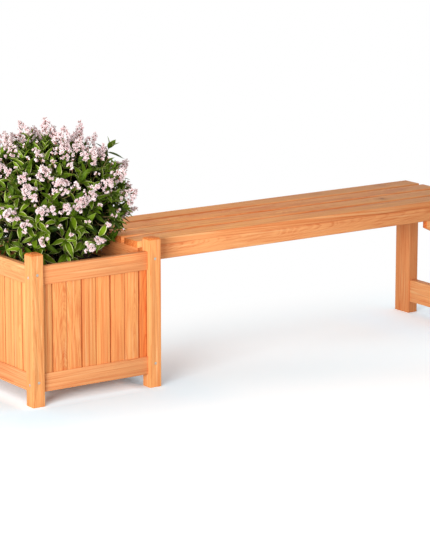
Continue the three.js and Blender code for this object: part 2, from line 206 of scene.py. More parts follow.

# How white the floor looks there: painted shade beside the object and a darker painted shade beside the
# planter, painted light further back, and a painted cool tint beside the object and its legs against the
# warm light that the timber throws on it
painted_floor_shade = floor_finish.blend(beside, grey(1.29), grey(1.24))
painted_floor_shade = floor_finish.blend(beside_planter, painted_floor_shade, grey(1.14))
painted_floor_shade = floor_finish.blend(far_side, painted_floor_shade, grey(1.435))
cooling = floor_finish.blend(beside, grey(1.0), (0.905, 1.0, 1.04, 1.0))
cooling = floor_finish.blend(beside_planter, cooling, (0.83, 1.0, 1.1, 1.0))
floor_shown = floor_finish.blend(1.0, painted_floor_shade, cooling, "MULTIPLY")
floor_shown = floor_finish.blend(beside_legs, floor_shown, (0.94, 1.02, 1.08, 1.0), "MULTIPLY")
# Under the planter the floor is painted lighter: painted light that softens the shadow there
floor_shown = floor_finish.blend(under_planter, floor_shown, (1.7, 1.78, 1.82, 1.0))
floor_felt = grey(0.62)
floor_finish.set("Base Color", floor_finish.blend(seen, floor_felt, floor_shown))
floor_finish.set("Roughness", 1.0)
floor_finish.set("Specular IOR Level", 0.0)

# Further out and behind the object it turns into plain white
reach = floor_finish.node("ShaderNodeVectorMath", {"operation": "LENGTH"}, {0: spot}, "Value")
fade = reach.step(1.7, 3.0).maths("MAXIMUM", y.step(0.05, 0.6)) * seen
plain_white = floor_finish.node("ShaderNodeEmission", None, {"Color": grey(1.0)}, "Emission")
lit = Socket(floor_finish, floor_finish.surface.outputs[0])
swept = floor_finish.node("ShaderNodeMixShader", None, {0: fade, 1: lit, 2: plain_white})
floor_finish.join(swept, floor_finish.tree.nodes["Material Output"].inputs["Surface"])
floor_data.materials.append(floor_finish.material)


# Light
# One broad soft lamp at the left front and an even white world give nearly all of the light. Two small
# lamps above the seat fill in the shrub's right side, and a narrow warm one the planter's inner rail.
# Glossy and transparent paths see the same white backdrop as the eye does.
def hang(name, lamp, place, direction):
    """Puts a lamp in the scene, turned to a direction, where the camera doesn't see it."""
    holder = bpy.data.objects.new(name, lamp)
    bpy.context.collection.objects.link(holder)
    holder.location = place
    holder.rotation_mode = "QUATERNION"
    holder.rotation_quaternion = direction.to_track_quat("-Z", "Y")
    holder.visible_camera = False


def soft_lamp(name, place, target, wide, tall, power):
    lamp = bpy.data.lights.new(name, "AREA")
    lamp.shape = "RECTANGLE"
    lamp.size = wide
    lamp.size_y = tall
    lamp.energy = power
    hang(name, lamp, place, target - place)


soft_lamp("lamp_left", Vector((-5.5, -3.4, 1.25)), Vector((-0.2, 0.0, 0.35)), 3.2, 1.7, 400)
soft_lamp("lamp_behind", Vector((-0.3, 0.6, 1.0)), Vector((-0.42, 0.0, 0.5)), 0.5, 0.5, 1.7)
inner_rail = Vector(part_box("rail_right_top")[0]) + Vector((0.0, 0.09, 0.055))
rail_to_lamp = 1.6
narrow = bpy.data.lights.new("lamp_rail", "SPOT")
narrow.energy = 85.0
narrow.color = (1.0, 0.86, 0.7)
narrow.spot_size = math.radians(5.0)
narrow.spot_blend = 1.0
narrow.shadow_soft_size = 0.03
hang("lamp_rail", narrow, inner_rail - looks_along * rail_to_lamp, looks_along)
soft_lamp("lamp_near", Vector((0.0, -0.45, 1.05)), Vector((-0.45, 0.0, 0.6)), 0.5, 0.5, 0.9)

world = bpy.data.worlds.new("world")
world.use_nodes = True
bpy.context.scene.world = world
sky = world.node_tree.nodes["Background"]
sky.inputs["Color"].default_value = grey(1.0)
paths = world.node_tree.nodes.new("ShaderNodeLightPath")
backdrop = paths.outputs["Is Camera Ray"]
for ray in ("Is Transmission Ray", "Is Glossy Ray"):
    either = world.node_tree.nodes.new("ShaderNodeMath")
    either.operation = "MAXIMUM"
    world.node_tree.links.new(backdrop, either.inputs[0])
    world.node_tree.links.new(paths.outputs[ray], either.inputs[1])
    backdrop = either.outputs[0]
world_share = 0.61
strength = world.node_tree.nodes.new("ShaderNodeMapRange")
strength.inputs["To Min"].default_value = world_share
world.node_tree.links.new(backdrop, strength.inputs["Value"])
world.node_tree.links.new(strength.outputs[0], sky.inputs["Strength"])


# Timber
# Planed softwood with a clear orange oil. Every piece is the CAD's solid with its arrises rubbed round.
# It carries its own grain: a place in the log that it was cut from, how dark it is, and its end grain.
def colour(red, green, blue):
    """A colour as it looks on a screen, 0 to 255, as the linear colour that shaders take."""
    def linear(value):
        value /= 255
        return value / 12.92 if value <= 0.04045 else ((value + 0.055) / 1.055) ** 2.4
    return (linear(red), linear(green), linear(blue), 1.0)


class Timber:
    """One kind of timber finish: the pale and the dark of its rings, the share of places with a knot, and
    how strong and how wide its broad dark bands are."""

    def __init__(self, name, pale, dark, knots, bands=0.16, band_width=0.025):
        finish = Finish(name)
        self.material = finish.material
        grain = finish.attribute("grain", "Vector")
        tone = finish.attribute("tone")
        end = finish.attribute("end")

        # Knots, where a branch ran out through the timber, each with a halo round it
        branches = {"Vector": finish.scaled(grain, (1.0, 1.0, 0.15)), "Scale": 7.0}
        knot_cell = finish.node("ShaderNodeTexVoronoi", {"feature": "F1"}, branches, "Distance")
        knot_draw = finish.node("ShaderNodeTexVoronoi", {"feature": "F1"}, branches, "Color")
        has_knot = finish.parts(knot_draw)[0].step(1 - knots, 1.02 - knots)
        knot = knot_cell.step(0.07, 0.045) * has_knot
        knot_halo = knot_cell.step(0.26, 0.05) * has_knot

        # Year rings round the pith, which wanders; their dark late wood ends sharply
        ring_width = 0.0042
        across, through = finish.parts(grain)[1:]
        wide = across + (finish.noise(grain, (1.3, 2.0, 2.0)) - 0.5) * 0.016
        deep = through + (finish.noise(grain, (4.0, 6.0, 6.0)) - 0.5) * 0.008
        from_pith = (wide * wide + deep * deep) ** 0.5
        jitter = finish.noise(grain, (3.0, 60.0, 60.0)) * 0.0022
        years = (from_pith + jitter + knot_halo * 0.008) / ring_width
        ring = years + finish.along_line(years * 0.4) * 3
        ring_phase = ring.maths("FRACT")
        hard_year = finish.along_line(ring.maths("FLOOR") * 5.3).step(0.35, 0.65)
        late = ring_phase.step(0.2, 0.9) * ring_phase.step(1.0, 0.93) * (hard_year * 0.75 + 0.25)
        band = finish.noise(grain, (0.5, 1 / band_width, 1 / band_width), 1.0).step(0.38, 0.66)

        # Fibres, streaks, pores and clouds, all drawn out along the grain
        fibre = finish.noise(grain, (26.0, 900.0, 900.0), 2.0)
        streak = finish.noise(grain, (2.6, 230.0, 230.0), 3.0).step(0.42, 0.66)
        pore = finish.noise(grain, (60.0, 1900.0, 1900.0), 1.0).step(0.6, 0.75)
        pale_streak = finish.noise(grain, (3.0, 170.0, 170.0), 1.0).step(0.6, 0.72)
        cloud = finish.noise(grain, (2.2, 14.0, 14.0), 2.0)
        dark_share = late * 0.42 + band * bands + fibre * 0.18 + streak * 0.46 - 0.06
        body = finish.blend(dark_share, pale, dark)
        body = finish.blend(pale_streak * 0.45, body, colour(255, 210, 152))
        body = finish.blend(pore * 0.22, body, colour(176, 84, 36))
        body = finish.blend(knot_halo * 0.22 + knot * 0.66, body, colour(132, 66, 30))

        # What sets one piece or face apart: its redness, tone, sawn ends, the V of a joint, and painted
        # shade on the seat tops. On a few pieces the redness and the tone are painted glow and shade.
        body = finish.blend(finish.attribute("red") * 0.37, body, (0.9, 0.6, 0.46, 1.0), "MULTIPLY")
        # The seat slats' tops are a little darker and less blue: painted shade for how the light falls on
        # them
        body = finish.blend(finish.attribute("wear_and_painted_shade"), body, (0.89, 0.90, 0.68, 1.0), "MULTIPLY")
        level = tone * (cloud * 0.26 + 0.87)
        shade = finish.node("ShaderNodeCombineColor", None, {0: level, 1: level, 2: level})
        body = finish.blend(1.0, body, shade, "MULTIPLY")
        rough = finish.noise(grain, (1.0, 420.0, 420.0), 3.0, 0.7).step(0.4, 0.62)
        sawn = finish.blend(rough, (0.98, 0.74, 0.54, 1.0), (0.68, 0.42, 0.28, 1.0))
        body = finish.blend(end, body, finish.blend(1.0, body, sawn, "MULTIPLY"))
        joint = finish.blend(1.0, body, (0.55, 0.32, 0.22, 1.0), "MULTIPLY")
        finish.set("Base Color", finish.blend(finish.attribute("joint"), body, joint))
        finish.set("Roughness", fibre * 0.16 + late * 0.08 + end * 0.2 + 0.42)
        finish.set("Specular IOR Level", 0.12)
        finish.bump(late * 0.4 + fibre * 0.6 + knot * 0.5, 0.0005, 0.5)


def timber_piece(node, timber, along, tones=(1.0,), joints=False, reds=None):
    """Dresses a CAD piece. along is its grain's axis. More than one tone goes in equal strips across it,
    and so do the reds, which are drawn at random where none are given."""
    arris = 0.0006
    joint_width = 0.008
    draw = random.Random(node)
    work = bmesh.new()
    work.from_mesh(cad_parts[node].data)
    bmesh.ops.remove_doubles(work, verts=work.verts, dist=0.00002)
    bmesh.ops.dissolve_limit(work, angle_limit=math.radians(1), verts=work.verts, edges=work.edges)
    arrises = [e for e in work.edges if len(e.link_faces) == 2 and e.calc_face_angle() > 0.5]
    bmesh.ops.bevel(work, geom=arrises, offset=arris, offset_type="OFFSET", segments=2,
                    profile=0.5, affect="EDGES", clamp_overlap=True, material=-1)
    across, through = (along + 1) % 3, (along + 2) % 3
    low = [min(v.co[axis] for v in work.verts) for axis in range(3)]
    high = [max(v.co[axis] for v in work.verts) for axis in range(3)]
    if high[across] - low[across] < high[through] - low[through]:
        across, through = through, across
    pith_turn = draw.uniform(0.2, 0.8) * math.pi
    pith_reach = draw.uniform(0.035, 0.10)
    pith_across = math.cos(pith_turn) * pith_reach
    pith_through = math.sin(pith_turn) * pith_reach
    place_in_log = draw.uniform(-20, 20)
    grain_slope = draw.choice((-1, 1)) * draw.uniform(0.0, 0.06)

    mesh = bpy.data.meshes.new(node + "_dressed")
    work.to_mesh(mesh)
    work.free()
    grain = mesh.attributes.new("grain", "FLOAT_VECTOR", "POINT")
    middle = [(a + b) / 2 for a, b in zip(low, high)]
    for vertex, place in zip(mesh.vertices, grain.data):
        rise = (vertex.co[along] - middle[along]) * grain_slope
        place.vector = (
            vertex.co[along] + place_in_log,
            vertex.co[across] - middle[across] + pith_across,
            vertex.co[through] - middle[through] + pith_through + rise,
        )
    width = high[across] - low[across]
    values = {"end": [], "tone": [], "red": [], "wear_and_painted_shade": [], "joint": []}
    reds = reds or [draw.random() for _ in tones]
    for face in mesh.polygons:
        strip = int((face.center[across] - low[across]) / width * len(tones))
        strip = max(0, min(strip, len(tones) - 1))
        sloping = 0.2 < abs(face.normal[across]) < 0.95 and abs(face.normal[along]) < 0.1
        to_side = min(face.center[across] - low[across], high[across] - face.center[across])
        joint_share = 1.0 if to_side < joint_width else 0.6
        values["end"].append(float(abs(face.normal[along]) > 0.5))
        values["tone"].append(tones[strip])
        values["red"].append(reds[strip])
        values["wear_and_painted_shade"].append(float("seat_slat" in node and face.normal.z > 0.9))
        values["joint"].append(joint_share if joints and sloping else 0.0)
    for name, numbers in values.items():
        mesh.attributes.new(name, "FLOAT", "FACE").data.foreach_set("value", numbers)
    mesh.polygons.foreach_set("use_smooth", [True] * len(mesh.polygons))
    mesh.set_sharp_from_angle(angle=math.radians(32))
    mesh.materials.append(timber.material)
    piece = bpy.data.objects.new(node + "_dressed", mesh)
    bpy.context.collection.objects.link(piece)
    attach(piece, "root")
    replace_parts(piece, node)


# Posts
# Four square posts of planed softwood that stand on the ground and carry the rails. Each has a
# chamfered top, and shallow recesses for the rail screws on its two outer faces.
post_timber = Timber("post_timber", colour(248, 180, 114), colour(224, 134, 74), knots=0.03)
post_tones = {
    "post_front_left": 0.93,
    "post_front_right": 1.0,
    "post_back_left": 0.95,
    "post_back_right": 0.96,
}
for node, tone in post_tones.items():
    timber_piece(node, post_timber, 2, (tone,))


# Rails and boards
# Softwood rails are screwed between the posts. Tongue-and-groove boards stand in their grooves. A full
# board is worked with a V down its middle, so that it reads as two strips, each of a tone of its own.
panel_timber = Timber("panel_timber", colour(254, 188, 118), colour(224, 118, 64), knots=0.05)
rail_timber = Timber("rail_timber", colour(250, 182, 122), colour(222, 128, 74), knots=0.03)
level_tones = {"bottom": 0.86, "top": 0.93}
# The right top rail and the last front board are painted redder: painted red glow, of the rail's shaded
# inner face and of light thrown back on the board by the post beside it
painted_glow_reds = {"rail_right_top": (1.2,), "board_front_5": (2.7,)}
# The first front board is painted darker: a painted shadow of the post beside it
painted_shadow_tones = {"board_front_1": (0.88,)}
for side, along in {"front": 0, "right": 1, "back": 0, "left": 1}.items():
    for level, tone in level_tones.items():
        node = f"rail_{side}_{level}"
        timber_piece(node, rail_timber, along, (tone,), reds=painted_glow_reds.get(node))
    for board in range(1, 6):
        node = f"board_{side}_{board}"
        draw = random.Random(f"{side} board {board}")
        tones = [draw.uniform(0.9, 1.04), draw.uniform(0.9, 1.04)]
        if board in (1, 5):
            tones = painted_shadow_tones.get(node, tones[:1])
        timber_piece(node, panel_timber, 2, tones, joints=True, reds=painted_glow_reds.get(node))


# Planter floor
# Two softwood battens are screwed inside the bottom rails, and rough slats are laid across them to carry
# the soil.
floor_timber = Timber("floor_timber", colour(214, 150, 96), colour(176, 110, 62), knots=0.1)
for end_name in ("front", "back"):
    timber_piece(f"floor_batten_{end_name}", floor_timber, 0)
for index in range(1, 5):
    timber_piece(f"floor_slat_{index}", floor_timber, 1)


# Seat
# Four slats of the same timber, with a few small knots and broad dark bands. Only their tops are painted
# a little darker and less blue, a painted shade for the light on them. Their left ends lie over the
# planter's rail.
slat_timber = Timber("slat_timber", colour(250, 180, 118), colour(218, 124, 68), knots=0.5,
                     bands=0.42, band_width=0.013)
for index, tone in enumerate((0.96, 0.94, 0.97, 0.93)):
    timber_piece(f"seat_slat_{index + 1}", slat_timber, 0, (tone,))


# Bench frame
# Aprons, bearers, braces, legs, cross rail and stretcher, all of planed softwood with square edges,
# screwed together out of sight.
frame_timber = Timber("frame_timber", colour(250, 180, 118), colour(222, 126, 72), knots=0.06)
for end_name in ("front", "back"):
    timber_piece(f"apron_{end_name}", frame_timber, 0, (0.94,))
    timber_piece(f"brace_{end_name}", frame_timber, 0, (0.9,))
    # The legs are toned darker: painted shade, as they stand under the seat
    timber_piece(f"leg_{end_name}", frame_timber, 2, (0.78,))
for index in range(1, 4):
    timber_piece(f"bearer_{index}", frame_timber, 1, (0.95,))
timber_piece("cross_rail", frame_timber, 1, (0.95,))
# The stretcher is toned darker: painted shade under the seat
timber_piece("stretcher", frame_timber, 1, (0.82,))


# Screws
# Sixteen zinc pan-head screws hold the rails to the posts. Each lies in a shallow recess in a post face
# and has a cross for the driver.
head_radius = 0.0042
head_rise = 0.0011
cross_depth = 0.0009
cells = 7
head = bmesh.new()
bmesh.ops.create_grid(head, x_segments=cells, y_segments=cells, size=1.0)
for corner in head.verts:
    x, y = corner.co.x, corner.co.y
    corner.co.x = x * math.sqrt(1 - y * y / 2)
    corner.co.y = y * math.sqrt(1 - x * x / 2)
    out = Vector((corner.co.x, corner.co.y)).length
    rise = head_rise * (1 - 0.45 * out ** 3)
    corner.co = Vector((corner.co.x * head_radius, corner.co.y * head_radius, rise))
cell = 2 * head_radius / cells
cross = [f for f in head.faces
         if min(abs(f.calc_center_median().x), abs(f.calc_center_median().y)) < cell * 0.4
         and f.calc_center_median().length < 2.6 * cell]
sunk = bmesh.ops.extrude_face_region(head, geom=cross)
bmesh.ops.delete(head, geom=cross, context="FACES_ONLY")
low_corners = [v for v in sunk["geom"] if isinstance(v, bmesh.types.BMVert)]
bmesh.ops.scale(head, vec=(0.75, 0.75, 1.0), verts=low_corners)
bmesh.ops.translate(head, vec=(0, 0, -cross_depth), verts=low_corners)
rim = [e for e in head.edges if e.is_boundary]
skirt = bmesh.ops.extrude_edge_only(head, edges=rim)
skirt_corners = [v for v in skirt["geom"] if isinstance(v, bmesh.types.BMVert)]
for corner in skirt_corners:
    corner.co.z = -0.0002
bmesh.ops.holes_fill(head, edges=[e for e in head.edges if e.is_boundary])
bmesh.ops.recalc_face_normals(head, faces=head.faces)
head_mesh = bpy.data.meshes.new("screw_head")
head.to_mesh(head_mesh)
head.free()


def stamp(whole, template, place):
    """Adds a turned and moved copy of a template mesh to a whole."""
    copy = template.copy()
    copy.transform(place)
    whole.from_mesh(copy)
    bpy.data.meshes.remove(copy)


def new_piece(name, whole, material, sharp=0.7):
    """Makes a finished piece of a mesh that is already in its place."""
    mesh = bpy.data.meshes.new(name)
    whole.to_mesh(mesh)
    whole.free()
    mesh.polygons.foreach_set("use_smooth", [True] * len(mesh.polygons))
    mesh.set_sharp_from_angle(angle=sharp)
    mesh.materials.append(material)
    piece = bpy.data.objects.new(name, mesh)
    bpy.context.collection.objects.link(piece)
    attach(piece, "root")
    return piece


zinc = Finish("zinc")
place = zinc.node("ShaderNodeTexCoord", output="Object")
wear_and_painted_shade = zinc.noise(place, (900.0, 900.0, 900.0), 2.0)
zinc.set("Base Color", zinc.blend(wear_and_painted_shade, colour(232, 224, 214), colour(196, 188, 178)))
zinc.set("Metallic", 0.75)
zinc.set("Roughness", wear_and_painted_shade * 0.2 + 0.42)
zinc.bump(wear_and_painted_shade, 0.00005, 0.4)

recess_floor = 0.001
rail_middles = (0.067, 0.383)
front_screw_up = 0.0055
side_screw_up = -0.0025
screws = bmesh.new()
driven = random.Random("screws")
for node in post_tones:
    low, high = (Vector(corner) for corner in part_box(node))
    middle = (low + high) / 2
    outward_y = -1 if "front" in node else 1
    outward_x = -1 if "left" in node else 1
    face_y = low.y if outward_y < 0 else high.y
    face_x = low.x if outward_x < 0 else high.x
    for height in rail_middles:
        on_front = Vector((middle.x, face_y - outward_y * recess_floor, height + front_screw_up))
        on_side = Vector((face_x - outward_x * recess_floor, middle.y, height + side_screw_up))
        for spot, outward in ((on_front, Vector((0, outward_y, 0))), (on_side, Vector((outward_x, 0, 0)))):
            turn = Matrix.Rotation(driven.uniform(0, math.pi / 2), 4, "Z")
            facing = outward.to_track_quat("Z", "Y").to_matrix().to_4x4()
            stamp(screws, head_mesh, Matrix.Translation(spot) @ facing @ turn)
new_piece("screw_heads", screws, zinc.material, sharp=0.6)


# Coach screws
# Two galvanised coach screws hold the bench's first bearer to the planter's rail. Their hexagon heads lie
# on washers, under the seat.
for node in ("coach_screw_1", "coach_screw_2", "washer_1", "washer_2"):
    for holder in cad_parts[node].material_slots:
        holder.material = zinc.material


# Soil
# Dark potting soil, a little heaped in the middle and crumbly on top, with bark chips lying on it.
soil_low, soil_high = (Vector(corner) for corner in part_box("soil"))
soil_middle = (soil_low + soil_high) / 2
soil_half = Vector(((soil_high.x - soil_low.x) / 2, (soil_high.y - soil_low.y) / 2))
heap = 0.008
below_rim = 0.003
chip_count = 420


def soil_level(x, y):
    """The height of the soil at a spot given from -1 to 1 both ways."""
    return soil_high.z - heap - below_rim + heap * (1 - x * x) * (1 - y * y)


soil = bmesh.new()
bmesh.ops.create_grid(soil, x_segments=90, y_segments=90, size=1.0)
for corner in soil.verts:
    x, y = corner.co.x, corner.co.y
    level = soil_level(x, y) + noise.fractal(Vector((x * 9, y * 9, 2.0)), 1.0, 2.0, 4) * 0.0022
    corner.co = Vector((soil_middle.x + x * soil_half.x, soil_middle.y + y * soil_half.y, level))
soil_edge = [e for e in soil.edges if e.is_boundary]
sides = bmesh.ops.extrude_edge_only(soil, edges=soil_edge)
for corner in sides["geom"]:
    if isinstance(corner, bmesh.types.BMVert):
        corner.co.z = soil_low.z
bmesh.ops.holes_fill(soil, edges=[e for e in soil.edges if e.is_boundary])
chip = bmesh.new()
bmesh.ops.create_icosphere(chip, subdivisions=1, radius=1.0)
chip_mesh = bpy.data.meshes.new("chip")
chip.to_mesh(chip_mesh)
chip.free()
strewn = random.Random("soil")
strewn_half = soil_half - Vector((0.006, 0.006))
for _ in range(chip_count):
    x, y = strewn.uniform(-0.97, 0.97), strewn.uniform(-0.97, 0.97)
    size = strewn.uniform(0.0015, 0.0045)
    spot = Vector((soil_middle.x + x * strewn_half.x, soil_middle.y + y * strewn_half.y, soil_level(x, y)))
    shape = Matrix.Diagonal((size * strewn.uniform(1, 2.2), size, size * strewn.uniform(0.4, 0.9), 1.0))
    turn = Matrix.Rotation(strewn.uniform(0, math.tau), 4, "Z")
    tilt = Matrix.Rotation(strewn.uniform(-0.4, 0.4), 4, "X")
    stamp(soil, chip_mesh, Matrix.Translation(spot) @ turn @ tilt @ shape)
bmesh.ops.recalc_face_normals(soil, faces=soil.faces)
earth = Finish("earth")
place = earth.node("ShaderNodeTexCoord", output="Object")
grit = earth.noise(place, (420.0, 420.0, 420.0), 4.0)
damp = earth.noise(place, (38.0, 38.0, 38.0), 2.0)
dry = earth.blend(grit, colour(50, 34, 24), colour(98, 70, 50))
earth.set("Base Color", earth.blend(damp.step(0.4, 0.65), colour(34, 23, 17), dry))
earth.set("Roughness", 0.9)
earth.set("Specular IOR Level", 0.2)
earth.bump(grit, 0.0015, 0.8)
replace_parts(new_piece("soil_bed", soil, earth.material), "soil")


# Shrub stems
# A bushy garden shrub. Eleven woody stems rise from the soil and fork into leafy shoots, whose tips make
# a full round crown that leans a little away from the bench.
root_spot = Vector((soil_middle.x, soil_middle.y, soil_high.z - 0.012))
crown_middle = Vector((soil_middle.x - 0.012, soil_middle.y, 0.585))
crown_half = 0.195
crown_up = 0.132
crown_down = 0.19
round_above = 2.0
round_below = 5.0
crown_lean = Vector((-0.04, 0.014, 0.0))
slats_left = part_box("seat_slat_1")[0][0]
to_camera = Vector((-math.cos(camera_heading), -math.sin(camera_heading), 0))
rightwards = Vector((math.sin(camera_heading), -math.cos(camera_heading), 0))
shoots_from = crown_middle - Vector((0, 0, 0.13))
heads_from = crown_middle - Vector((0, 0, 0.14))

# How far a line of sight drops in a metre, and a turn that spreads points evenly round a crown
sight_drop = 0.18
golden_turn = 2.39996

# The radius at the foot and at the tip
branch_radii = (0.0062, 0.0026)
shoot_radii = (0.0019, 0.0008)
stalk_radii = (0.002, 0.0006)


def crown_reach(way):
    """How far shoot tips stand from the crown's middle in one direction."""
    level = math.hypot(way.x, way.y)
    height, power = (crown_up, round_above) if way.z > 0 else (crown_down, round_below)
    share = (level / crown_half) ** power + (abs(way.z) / height) ** power
    return share ** (-1 / power)


def leaning(point):
    """A point of the upright crown after the crown has leant over."""
    rise = max(0.0, point.z - crown_middle.z) / crown_up
    return point + crown_lean * rise * rise


def on_crown(right, rise, outset):
    """The point just outside the crown that the camera sees at a place right of and above its middle."""
    ahead = 0.0
    for _ in range(3):
        high = rise + sight_drop * ahead
        height, power = (crown_up, round_above) if high > 0 else (crown_down, round_below)
        level = 1 - min(1.0, abs(high) / (height + outset)) ** power
        level = (crown_half + outset) * level ** (1 / power)
        ahead = math.sqrt(max(0.0, level * level - right * right))
    lift = Vector((0, 0, rise + sight_drop * ahead))
    return crown_middle + rightwards * right + to_camera * ahead + lift


def bend(start, first, second, end, steps):
    """Points on a smooth curve between two ends, each with its handle."""
    points = []
    for index in range(steps + 1):
        t = index / steps
        a, b, c, d = (1 - t) ** 3, 3 * t * (1 - t) ** 2, 3 * t * t * (1 - t), t ** 3
        points.append(start * a + first * b + second * c + end * d)
    return points


def clear_of_planter(point):
    """Whether a point of the plant keeps clear of rails, posts and seat slats."""
    above_posts, between_posts = 0.456, 0.176
    above_rails, between_rails = 0.415, 0.186
    above_slats, beside_slats = 0.442, slats_left - 0.006
    x, y = abs(point.x - soil_middle.x), abs(point.y - soil_middle.y)
    if point.z < above_posts and x > between_posts and y > between_posts:
        return False
    if point.z < above_rails and (x > between_rails or y > between_rails):
        return False
    return not (point.z < above_slats and point.x > beside_slats and y < between_posts)


def around(turn, height):
    """A direction from the crown's middle: its turn about the upright, and how far up or down it points."""
    level = math.sqrt(max(0.0, 1 - height * height))
    return Vector((math.cos(turn) * level, math.sin(turn) * level, height)).normalized()


def off_branch(end, grows):
    """A side shoot: a curve from the nearest branch to an end that it reaches in a given direction."""
    near = min(branches, key=lambda line: (line[-1] - end).length)
    start = near[growth.randint(3, 8)]
    span = (end - start).length
    first = start + (near[-1] - near[-2]).normalized() * span * 0.35
    return bend(start, first, end - grows * span * 0.4, end, 8)


# What the camera sees, in millimetres right of the crown's middle and above it: long leafy shoots, and
# flower heads with how wide and how tall each looks.
sprigs_in_view = ((166, 126), (180, 64), (206, -62), (186, -120), (178, -152), (-20, 140), (-70, 150))
blossom_in_view = (
    (-165, 160, 28, 45), (-135, 150, 32, 40), (-82, 158, 58, 90), (-120, 122, 38, 50), (-20, 181, 38, 62),
    (35, 155, 45, 60), (78, 172, 30, 58), (40, 115, 50, 52), (80, 125, 44, 58), (116, 148, 30, 42),
    (118, 102, 44, 55), (144, 110, 30, 50), (165, 92, 12, 12), (-148, 65, 42, 55), (-118, 50, 20, 25),
    (-30, 97, 26, 42), (-12, 50, 42, 62), (12, 75, 15, 33), (62, 68, 20, 16), (-70, 35, 38, 22),
    (-58, -6, 44, 56), (-35, -25, 18, 15), (38, 12, 50, 50), (80, 10, 26, 18), (166, 15, 36, 45),
    (199, 44, 38, 44), (224, -18, 50, 50), (137, 6, 20, 20), (120, -20, 40, 38), (94, -35, 36, 36),
    (84, -54, 26, 28), (52, -54, 32, 32), (12, -58, 20, 28), (-18, -63, 38, 46), (-115, -75, 42, 50),
    (-90, -88, 14, 18), (-155, -86, 28, 22), (-68, -106, 32, 26), (30, -106, 14, 20), (-18, -152, 30, 22),
    (118, -170, 30, 34), (145, -150, 26, 30), (184, -78, 14, 12), (166, -105, 18, 18), (-166, -150, 14, 28),
)

growth = random.Random("shrub")
branches = []
stem_lines = []
for ring, (count, lean) in enumerate(((1, 0.05), (5, 0.62), (5, 1.12))):
    for index in range(count):
        turn = (index + 0.5 * ring) / count * math.tau + growth.uniform(-0.25, 0.25)
        way = Vector((math.cos(turn) * math.sin(lean), math.sin(turn) * math.sin(lean), math.cos(lean)))
        foot = root_spot + Vector((math.cos(turn), math.sin(turn), 0)) * 0.028 * ring
        top = crown_middle - Vector((0, 0, 0.08)) + way * crown_reach(way) * 0.66
        line = bend(foot, foot + Vector((0, 0, 0.07)) + way * 0.03, top - way * 0.05, top, 9)
        branches.append(line)
        stem_lines.append((line, *branch_radii))

shoots = []
tips = [(on_crown(right / 1000, rise / 1000, 0.01), 0) for right, rise in sprigs_in_view]
for layer, (share, count) in enumerate(((1.0, 275), (0.78, 180))):
    for index in range(count):
        z = 1 - 2 * (index + 0.5) / count
        turn = index * golden_turn + growth.uniform(-0.12, 0.12)
        way = around(turn, z + growth.uniform(-0.05, 0.05))
        is_long = layer == 0 and abs(way.y) < 0.7 and way.z < 0.6 and growth.random() < 0.05
        reach = crown_reach(way) * share * (1.1 if is_long else growth.uniform(0.93, 1.03))
        tips.append((leaning(crown_middle + way * reach), layer))
for tip, layer in tips:
    if tip.z > 0.4 and clear_of_planter(tip + Vector((0, 0, -0.008))):
        grows = (tip - shoots_from).normalized()
        line = off_branch(tip, grows)
        shoots.append((line, grows, layer))
        stem_lines.append((line, *shoot_radii))

# Flower heads: those that the camera sees, then others round the far side and small ones in between
far_heads = 90
small_heads = 130
spots = [(on_crown(right / 1000, rise / 1000, 0.036), wide / 1000, tall / 1000)
         for right, rise, wide, tall in blossom_in_view]
for index in range(far_heads):
    way = around(index * golden_turn, 1 - 1.45 * (index + 0.5) / far_heads)
    spot = leaning(crown_middle + way * (crown_reach(way) + 0.028))
    hidden = way.dot(to_camera) < 0.05 and abs(way.dot(rightwards)) < 0.93
    if hidden and spot.z > 0.45 and min((spot - other[0]).length for other in spots) > 0.045:
        spots.append((spot, growth.uniform(0.03, 0.05), growth.uniform(0.035, 0.07)))
for index in range(small_heads):
    way = around(index * golden_turn + 1, 1 - 1.6 * (index + 0.5) / small_heads)
    spot = leaning(crown_middle + way * (crown_reach(way) + growth.uniform(0.01, 0.035)))
    if spot.z > 0.44 and (spot.z > 0.5 or spot.x < slats_left - 0.03):
        spots.append((spot, growth.uniform(0.008, 0.014), 0.014))
flower_heads = []
for spot, wide, tall in spots:
    grows = (spot - heads_from).normalized()
    grows = (grows + Vector([growth.uniform(-0.15, 0.15) for _ in range(3)])).normalized()
    foot = spot - grows * tall * 0.5
    if clear_of_planter(foot) and clear_of_planter(spot):
        flower_heads.append((foot, grows, wide, tall))
        line = off_branch(foot, grows) + [foot + grows * tall * 0.9]
        stem_lines.append((line, *stalk_radii))

stems_curve = bpy.data.curves.new("shrub_stems", "CURVE")
stems_curve.dimensions = "3D"
stems_curve.bevel_depth = 1.0
stems_curve.bevel_resolution = 1
stems_curve.use_fill_caps = True
for line, thick, thin in stem_lines:
    spline = stems_curve.splines.new("POLY")
    spline.points.add(len(line) - 1)
    for index, (place, point) in enumerate(zip(spline.points, line)):
        place.co = (*point, 1.0)
        place.radius = thick + (thin - thick) * index / (len(line) - 1)
stems_holder = bpy.data.objects.new("stems_holder", stems_curve)
bpy.context.collection.objects.link(stems_holder)
stems_shown = stems_holder.evaluated_get(bpy.context.evaluated_depsgraph_get())
stems = bmesh.new()
stems.from_mesh(bpy.data.meshes.new_from_object(stems_shown))
bpy.data.objects.remove(stems_holder)
bmesh.ops.recalc_face_normals(stems, faces=stems.faces)
bark = Finish("bark")
place = bark.node("ShaderNodeTexCoord", output="Object")
ridges = bark.noise(place, (500.0, 500.0, 90.0), 3.0)
height = bark.parts(place)[2]
old = bark.blend(ridges, colour(72, 54, 40), colour(120, 96, 74))
young = bark.blend(ridges, colour(98, 98, 44), colour(140, 104, 66))
bark.set("Base Color", bark.blend(height.step(0.42, 0.56), old, young))
bark.set("Roughness", 0.75)
bark.bump(ridges, 0.0006, 0.7)
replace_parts(new_piece("shrub_stems", stems, bark.material), "shrub")


